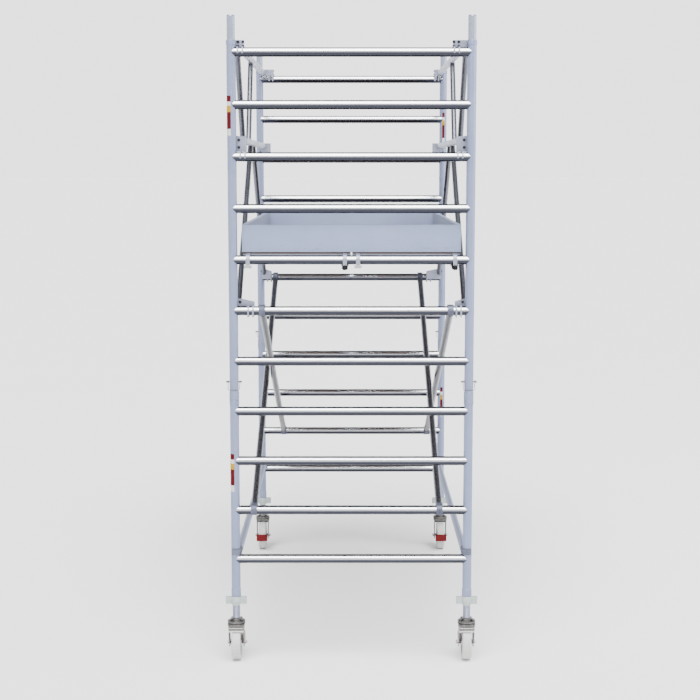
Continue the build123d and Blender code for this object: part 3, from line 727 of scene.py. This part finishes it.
def pedal_treads(name, x, y, inward):
    """Raised grip bars on the brake pedal's face and a rolled upper edge."""
    face_y = y + inward * BRAKE_FACE_Y
    bars = []
    for step in range(5):
        spot = (x, face_y, 0.0855 + 0.0088 * step)
        bars.append(rounded_bar("bar", (0.066, 0.003, 0.0032), 0.0011, spot, steps=2))
    spot = (x, y + inward * BRAKE_PLATE_Y, 0.1258)
    bars.append(rounded_bar("edge", (0.0775, 0.0095, 0.004), 0.0016, spot, steps=2))
    return gather(bars, name)


def axle_caps(name, x, y, side):
    """Domed end on the axle bolt, and the nut's locking collar."""
    dome = dome_rivet("dome", 0.0082, 0.0034)
    place(dome, (x + side * AXLE_HEAD_X, y, WHEEL_R), TURN_X[side])
    collar = begin("cylinder", "collar", vertices=24, radius=0.0086, depth=0.0022)
    modify(collar, "BEVEL", width=0.0007, segments=2, limit_method="ANGLE")
    place(collar, (x - side * AXLE_COLLAR_X, y, WHEEL_R), TO_RIGHT)
    return gather([dome, collar], name)


def nut_grips(name, x, y):
    """Finger ribs on the adjusting nut's wings, and a bead round its middle."""
    bars = []
    for side in (-1, 1):
        for step in range(4):
            spot = (x + side * (0.037 + 0.006 * step), y, NUT_MIDDLE)
            bars.append(rounded_bar("rib", (0.0022, 0.0212, 0.033), 0.0009, spot, steps=2))
    size = {"major_radius": 0.0288, "minor_radius": 0.0016}
    ring = begin("torus", "ring", major_segments=40, minor_segments=8, **size)
    bars.append(place(ring, (x, y, 0.3495)))
    return gather(bars, name)


for corner, side, way in CORNERS:
    x, y = side * UPRIGHT_X, way * FRAME_Y
    axle_y = y - way * CASTOR_TRAIL
    thread = thread_sleeve(f"thread_{corner}", x, y)
    dress(thread, SPINDLE, f"leg_{corner}", 20)
    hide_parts(f"spindle_{corner}")
    dress(swivel_fixings(f"castor_nuts_{corner}", x, y), BOLT, f"leg_{corner}")
    dress(seal_ring(f"race_seal_{corner}", x, y), BLACK, f"leg_{corner}")
    # The lip, ledge and rivets carry the pale zinc of the painted highlight.
    dress(fork_skirt(f"fork_lips_{corner}", x, y, -way), LIP_HIGHLIGHT, f"castor_{corner}")
    dress(axle_caps(f"axle_caps_{corner}", x, axle_y, side), PIN, f"castor_{corner}")
    dress(wheel_webs(f"wheel_webs_{corner}", x, axle_y), WHEEL, f"wheel_body_{corner}")
    treads = pedal_treads(f"pedal_treads_{corner}", x, axle_y, -way)
    dress(treads, PEDAL, f"pedal_body_{corner}")
    dress(nut_grips(f"nut_grips_{corner}", x, y), NUT, f"nut_body_{corner}")


# ------------------------------------------------------------------ uprights: crimps and stickers
def crimp_dimples():
    """Punched dimples round each socket, where the tube is expanded over the spigot below."""
    dot = dome_rivet("dimple", 0.0036, 0.0016)
    spots = []
    for _, side, way in CORNERS:
        for foot in SOCKET_FEET:
            for step in range(6):
                turn = math.radians(30 + 60 * step)
                spot = (
                    side * UPRIGHT_X + SOCKET_R * math.cos(turn),
                    way * FRAME_Y + SOCKET_R * math.sin(turn),
                    foot + 0.031,
                )
                spots.append((spot, (0, math.pi / 2, turn)))
    return spread_copies(dot, spots, "socket_dimples")


def sticker(name, x, y, low, high, facing, span, radius):
    """Thin film wrapped part of the way round an upright."""
    size = {"vertices": 72, "radius": radius, "depth": high - low, "end_fill_type": "NOTHING"}
    sleeve = begin("cylinder", name, **size)

    def beyond(centre, normal):
        turn = math.degrees(math.atan2(centre.y, centre.x))
        return abs((turn - facing + 180) % 360 - 180) > span / 2

    pick_faces(sleeve, beyond)
    bpy.ops.mesh.delete(type="FACE")
    leave_edit()
    place(sleeve, (x, y, (low + high) / 2))
    return modify(sleeve, "SOLIDIFY", thickness=0.0003, offset=1)


def add_stickers(tag, x, y, foot, facing, span):
    """Plain bands of colour, with nothing printed on them."""
    bands = (
        ("white_low", 0.000, 0.036, STICKER_WHITE),
        ("red_low", 0.036, 0.126, STICKER_RED),
        ("yellow", 0.126, 0.160, STICKER_YELLOW),
        ("white_mid", 0.160, 0.182, STICKER_WHITE),
        ("red_high", 0.182, 0.214, STICKER_RED),
    )
    for label, low, high, colour in bands:
        name = f"sticker_{tag}_{label}"
        film = sticker(name, x, y, foot + low, foot + high, facing, span, TUBE_R + 0.0001)
        dress(film, colour, "tower")


dress(crimp_dimples(), SPIGOT, "tower")
for end, (side, facing, span) in STICKER_FACING.items():
    for level, foot in STICKER_FEET.items():
        add_stickers(f"{end}_{level}", side * UPRIGHT_X, ENDS[end] * FRAME_Y, foot, facing, span)


# ------------------------------------------------------------------ bolts on brackets and claws
def bracket_bolts():
    """Bolts on the guardrail brackets: four on each top one, and side and face bolts on the rest."""
    bolt = hex_bolt("bracket_bolt", 0.013, 0.006)
    spots = []
    lifts = {9: (0.052, 0.092), 6: (0.046,)}
    for _, side, way in CORNERS:
        for number, rises in lifts.items():
            for rise in rises:
                z = rung_z(number) + rise
                spots.append(((side * BRACKET_SIDE_X, way * BRACKET_MIDDLE_Y, z), TURN_X[side]))
                spots.append(((side * 0.614, way * BRACKET_FACE_Y, z), TURN_Y[way]))
        claw_x = 0.6 if side == way else 0.567
        for across in (-0.0135, 0.0135):
            for rise in (0.0335, 0.0575):
                spot = (side * (claw_x + across), way * BRACKET_FACE_Y, rung_z(11) + rise)
                spots.append((spot, TURN_Y[way]))
    return spread_copies(bolt, spots, "bracket_bolts")


dress(bracket_bolts(), BOLT, "tower")


# ------------------------------------------------------------------ deck trim
def deck_screws():
    """Screws that hold the boards to their beams."""
    head = dome_rivet("screw", 0.0048, 0.0013)
    spots = []
    for side in (-1, 1):
        for across in (0.018, 0.564):
            for step in range(9):
                spots.append(((side * across, -1.12 + 0.28 * step, DECK_TOP), UP))
    return spread_copies(head, spots, "deck_screws")


def hook_tips():
    """Grey plastic tips on the hooks that have no wind lock."""
    tips = []
    for across in PLAIN_HOOK_X:
        for way in (-1, 1):
            spot = (across, way * 1.2795, DECK_Z - 0.036)
            tips.append(rounded_bar("tip", (0.042, 0.0082, 0.016), 0.0024, spot))
    return gather(tips, "hook_tips")


def lock_toe(name, across, way):
    """Black shoe on the wind lock's tip, which hangs in front of the hook and under it."""
    spot = (across, way * 1.2862, DECK_Z - 0.0415)
    front = rounded_bar("shoe", (0.022, 0.0042, 0.021), 0.0012, spot)
    spot = (across, way * 1.2742, DECK_Z - 0.0505)
    under = rounded_bar("shoe", (0.022, 0.026, 0.006), 0.0012, spot)
    return gather([front, under], name)


def toe_clips():
    """Plastic corner clips where the toe boards meet."""
    clips = []
    for _, side, way in CORNERS:
        for across, along, size in (
            (0.602, 1.1835, (0.0045, 0.0245, 0.146)),
            (0.5795, 1.1705, (0.006, 0.006, 0.15)),
        ):
            spot = (side * across, way * along, DECK_TOP + 0.0752)
            clips.append(rounded_bar("clip", size, 0.0012, spot, steps=2))
    return gather(clips, "toe_clips")


dress(deck_screws(), PIN, "tower")
dress(hook_tips(), GREY, "tower")
for end, way in ENDS.items():
    for side, across in WIND_LOCK_X.items():
        shoe = lock_toe(f"lock_toe_{end}_{side}", across, way)
        dress(shoe, BLACK, f"lock_{end}_{side}")
dress(toe_clips(), GREY, "tower")


# ------------------------------------------------------------------ floor, lights and camera
def stage_finish():
    finish = Finish("studio_floor", specular_ior_level=0.1)
    mottle = finish.noise(0.6, 2.0, 0.5)
    colour = finish.blend(mottle, (0.86, 0.865, 0.875), (0.88, 0.885, 0.89))
    return finish.paint(colour, 0.9)


floor = begin("plane", "studio_floor", size=900)
floor.data.materials.append(stage_finish())


def softbox(name, spot, target, size, power):
    light = bpy.data.lights.new(name, "AREA")
    light.shape = "RECTANGLE"
    light.size, light.size_y = size
    light.energy = power
    lamp = bpy.data.objects.new(name, light)
    bpy.context.scene.collection.objects.link(lamp)
    lamp.location = spot
    lamp.rotation_euler = (Vector(target) - Vector(spot)).to_track_quat("-Z", "Y").to_euler()


def studio_sky():
    """Pale horizon with a dim band high up, which puts a dark line along polished tubes."""
    world = bpy.data.worlds.new("studio")
    bpy.context.scene.world = world
    world.use_nodes = True
    tree = world.node_tree
    coords = tree.nodes.new("ShaderNodeTexCoord")
    split = tree.nodes.new("ShaderNodeSeparateXYZ")
    ramp = tree.nodes.new("ShaderNodeValToRGB")
    tree.links.new(coords.outputs["Generated"], split.inputs[0])
    tree.links.new(split.outputs[2], ramp.inputs[0])
    tree.links.new(ramp.outputs[0], tree.nodes["Background"].inputs[0])
    tree.nodes["Background"].inputs[1].default_value = 2.6
    stops = ((0.0, 1.0), (0.26, 1.0), (0.42, 0.16), (0.8, 0.12), (1.0, 0.3))
    while len(ramp.color_ramp.elements) < len(stops):
        ramp.color_ramp.elements.new(1.0)
    for stop, (position, level) in zip(ramp.color_ramp.elements, stops):
        stop.position = position
        stop.color = (level, level, level * 1.01, 1.0)


def overhead_light(name, bearing, height, strength, softness):
    """Very soft light from one direction, which lights the floor evenly to the horizon."""
    light = bpy.data.lights.new(name, "SUN")
    light.energy = strength
    light.angle = math.radians(softness)
    lamp = bpy.data.objects.new(name, light)
    bpy.context.scene.collection.objects.link(lamp)
    lamp.rotation_euler = (math.radians(90 - height), 0, math.radians(bearing))


studio_sky()
overhead_light("main_light", 0, 58, 8.9, 55)
softbox("side_light", (7.0, -2.0, 4.0), (0, 0, 1.8), (2.5, 5.0), 300)

lens = bpy.data.cameras.new("camera")
lens.sensor_width = 36.0
lens.lens = 75.65
lens.shift_x = -0.0021
camera = bpy.data.objects.new("camera", lens)
bpy.context.scene.collection.objects.link(camera)
camera.location = (0.0, -9.3158, 2.7745)
camera.rotation_euler = (math.radians(90 - 7.0842), 0, 0)
bpy.context.scene.camera = camera
